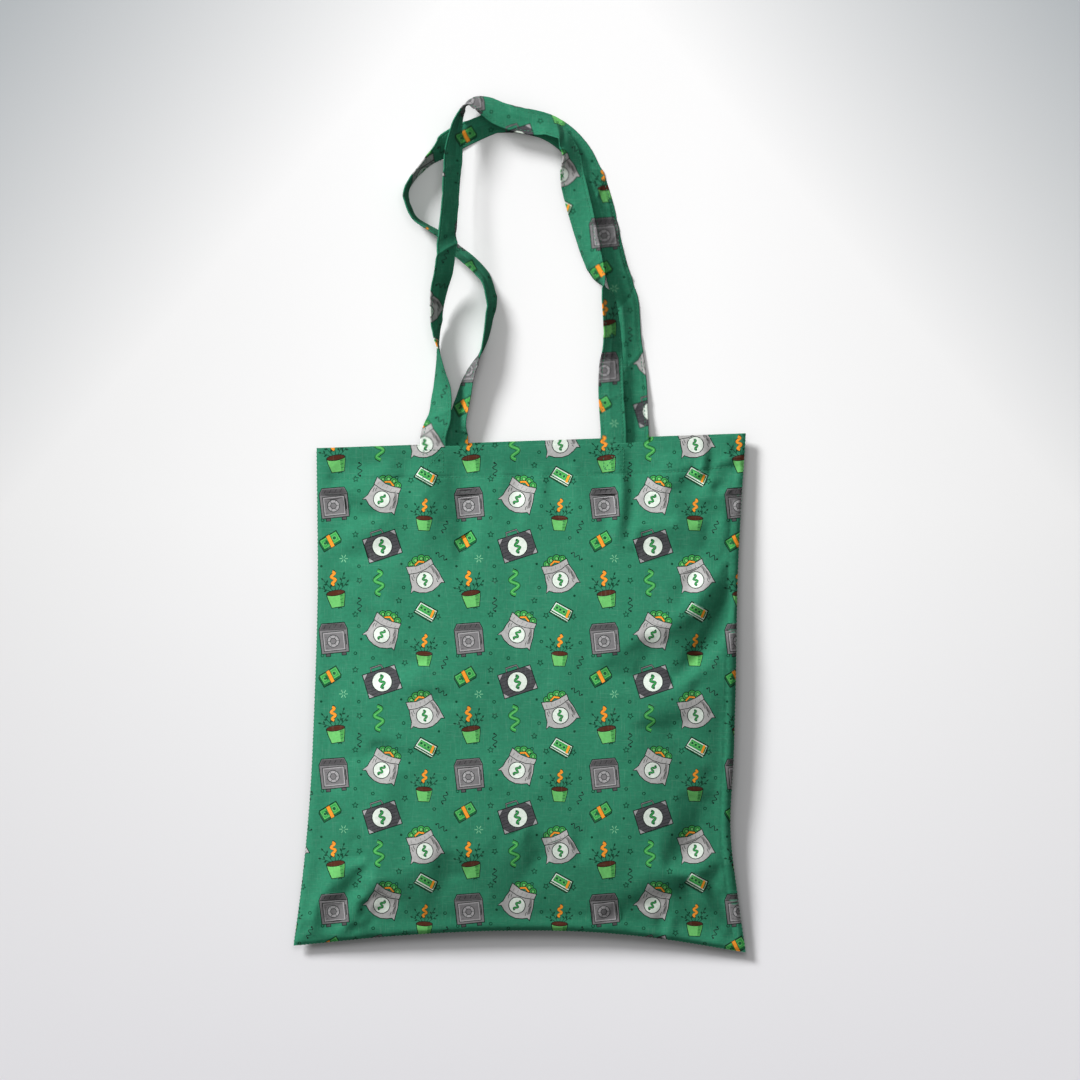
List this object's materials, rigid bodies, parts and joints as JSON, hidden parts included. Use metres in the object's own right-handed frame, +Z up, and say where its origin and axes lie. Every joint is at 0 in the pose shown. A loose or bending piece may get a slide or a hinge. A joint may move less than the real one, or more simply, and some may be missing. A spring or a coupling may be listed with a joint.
{
  "type": "tote bag",
  "caption": "Plain sewn cotton shopping bag lying flat and softly puffed, with an open hemmed mouth and long strap handles that fold at the mouth.",
  "frame": {"origin": "middle of the flat resting face under the back panel, on the surface the bag lies on", "axes": "+X to the bag's right seen from the front, +Y from the bottom seam to the mouth and handles, +Z up out of the front panel"},
  "size_m": [0.3842, 0.7275, 0.047],
  "materials": {
    "panel_cloth": "plain-weave cotton, matt",
    "hem_cloth": "plain-weave cotton, matt, folded double",
    "strap_cloth": "plain-weave cotton, matt, folded lengthwise and stitched",
    "sewing_thread": "polyester sewing thread"
  },
  "bodies": {
    "bag": {"back_panel": "panel_cloth", "back_hem": "hem_cloth", "back_hem_thread": "sewing_thread", "left_seam_allowance": "hem_cloth", "right_seam_allowance": "hem_cloth", "bottom_seam_allowance": "hem_cloth", "left_seam_thread": "sewing_thread", "right_seam_thread": "sewing_thread", "bottom_seam_thread": "sewing_thread", "back_handle_end_left": "strap_cloth", "back_handle_end_right": "strap_cloth", "back_box_stitch_left": "sewing_thread", "back_box_stitch_right": "sewing_thread"},
    "front": {"front_panel": "panel_cloth", "front_hem": "hem_cloth", "front_hem_thread": "sewing_thread", "front_handle_end_left": "strap_cloth", "front_handle_end_right": "strap_cloth", "front_box_stitch_left": "sewing_thread", "front_box_stitch_right": "sewing_thread"},
    "front_loop": {"front_handle": "strap_cloth", "front_handle_thread": "sewing_thread"},
    "back_loop": {"back_handle": "strap_cloth", "back_handle_thread": "sewing_thread"}
  },
  "joints": [
    {"name": "mouth_open", "type": "hinge", "parent": "bag", "child": "front", "pos_m": [0, -0.2235, 0.0095], "axis": [1, 0, 0], "range_deg": [0, 5]},
    {"name": "front_handle_swing", "type": "hinge", "parent": "front", "child": "front_loop", "pos_m": [0.00115, 0.20915, 0.0202], "axis": [0.9999, 0.0163, 0], "range_deg": [0, 155]},
    {"name": "back_handle_swing", "type": "hinge", "parent": "bag", "child": "back_loop", "pos_m": [0.0202, 0.213, 0.0038], "axis": [-0.9994, -0.0352, 0], "range_deg": [0, 155]}
  ]
}
